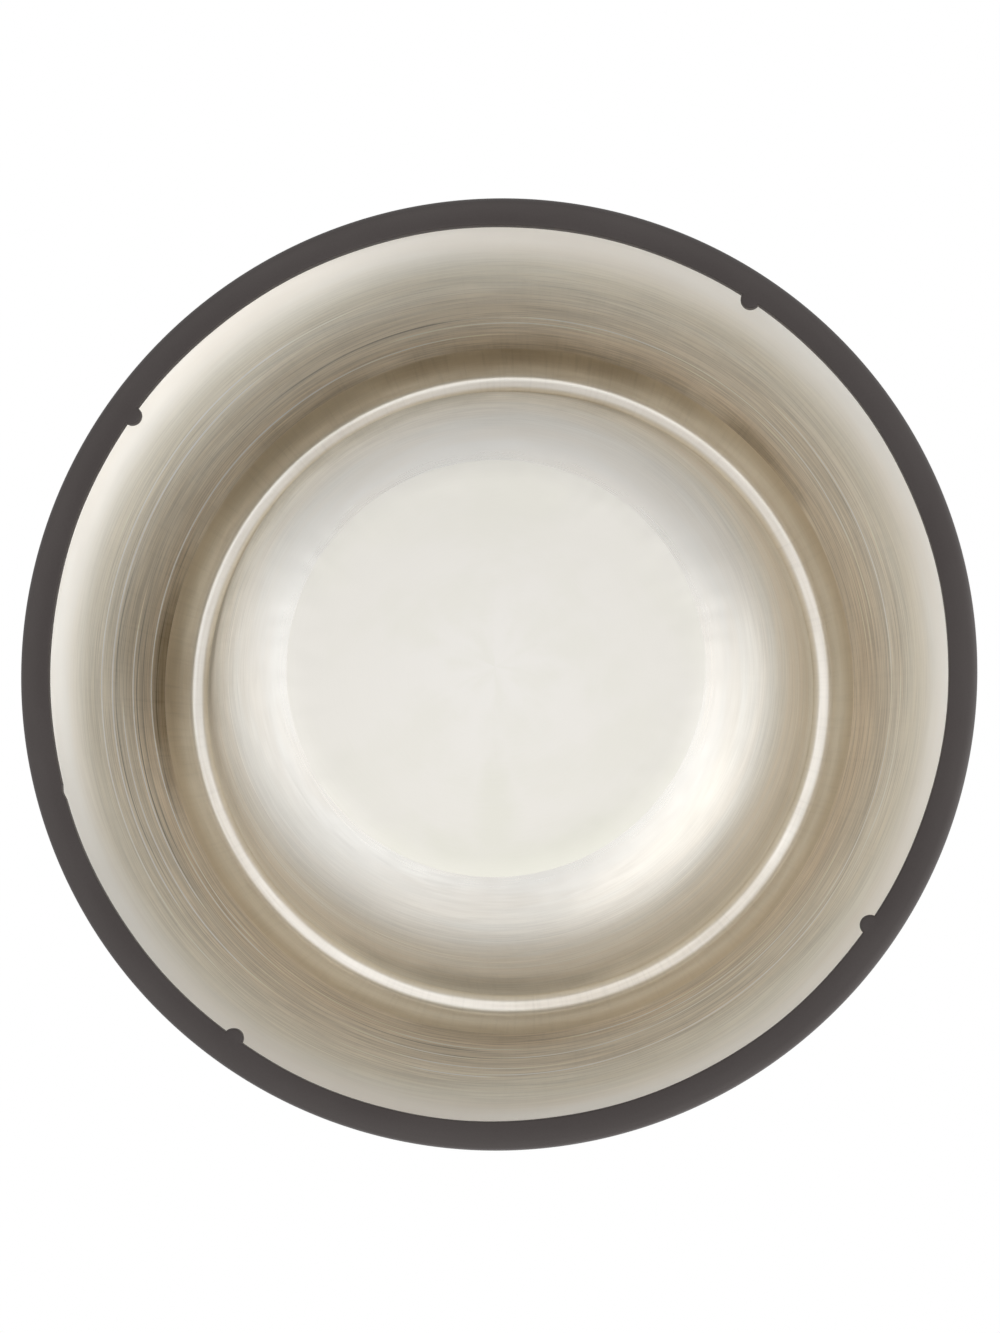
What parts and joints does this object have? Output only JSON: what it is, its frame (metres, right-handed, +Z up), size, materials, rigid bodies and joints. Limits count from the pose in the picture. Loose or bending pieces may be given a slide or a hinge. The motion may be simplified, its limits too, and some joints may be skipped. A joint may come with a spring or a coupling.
{
  "type": "pet bowl",
  "caption": "Low round pet bowl of sheet steel with a rolled rim and a wide flared skirt, whose foot stands in the groove of a rubber ring that pulls off for washing.",
  "frame": {"origin": "on the ground, at the centre of the rubber ring's underside", "axes": "+Z up along the bowl's axis of revolution; +X and +Y pass through two neighbouring lobes of the ring"},
  "size_m": [0.2794, 0.2794, 0.0737],
  "materials": {
    "steel": "satin stainless sheet with fine concentric polish lines, warmer and darker in the channel under the rim",
    "rubber": "matt moulded rubber, dark warm grey"
  },
  "bodies": {
    "base": {"rubber_ring": "rubber"},
    "bowl": {"steel_bowl": "steel"}
  },
  "joints": [
    {"name": "lift_off", "type": "slide", "parent": "base", "child": "bowl", "axis": [0, 0, 1], "range_m": [0, 0.03]}
  ]
}
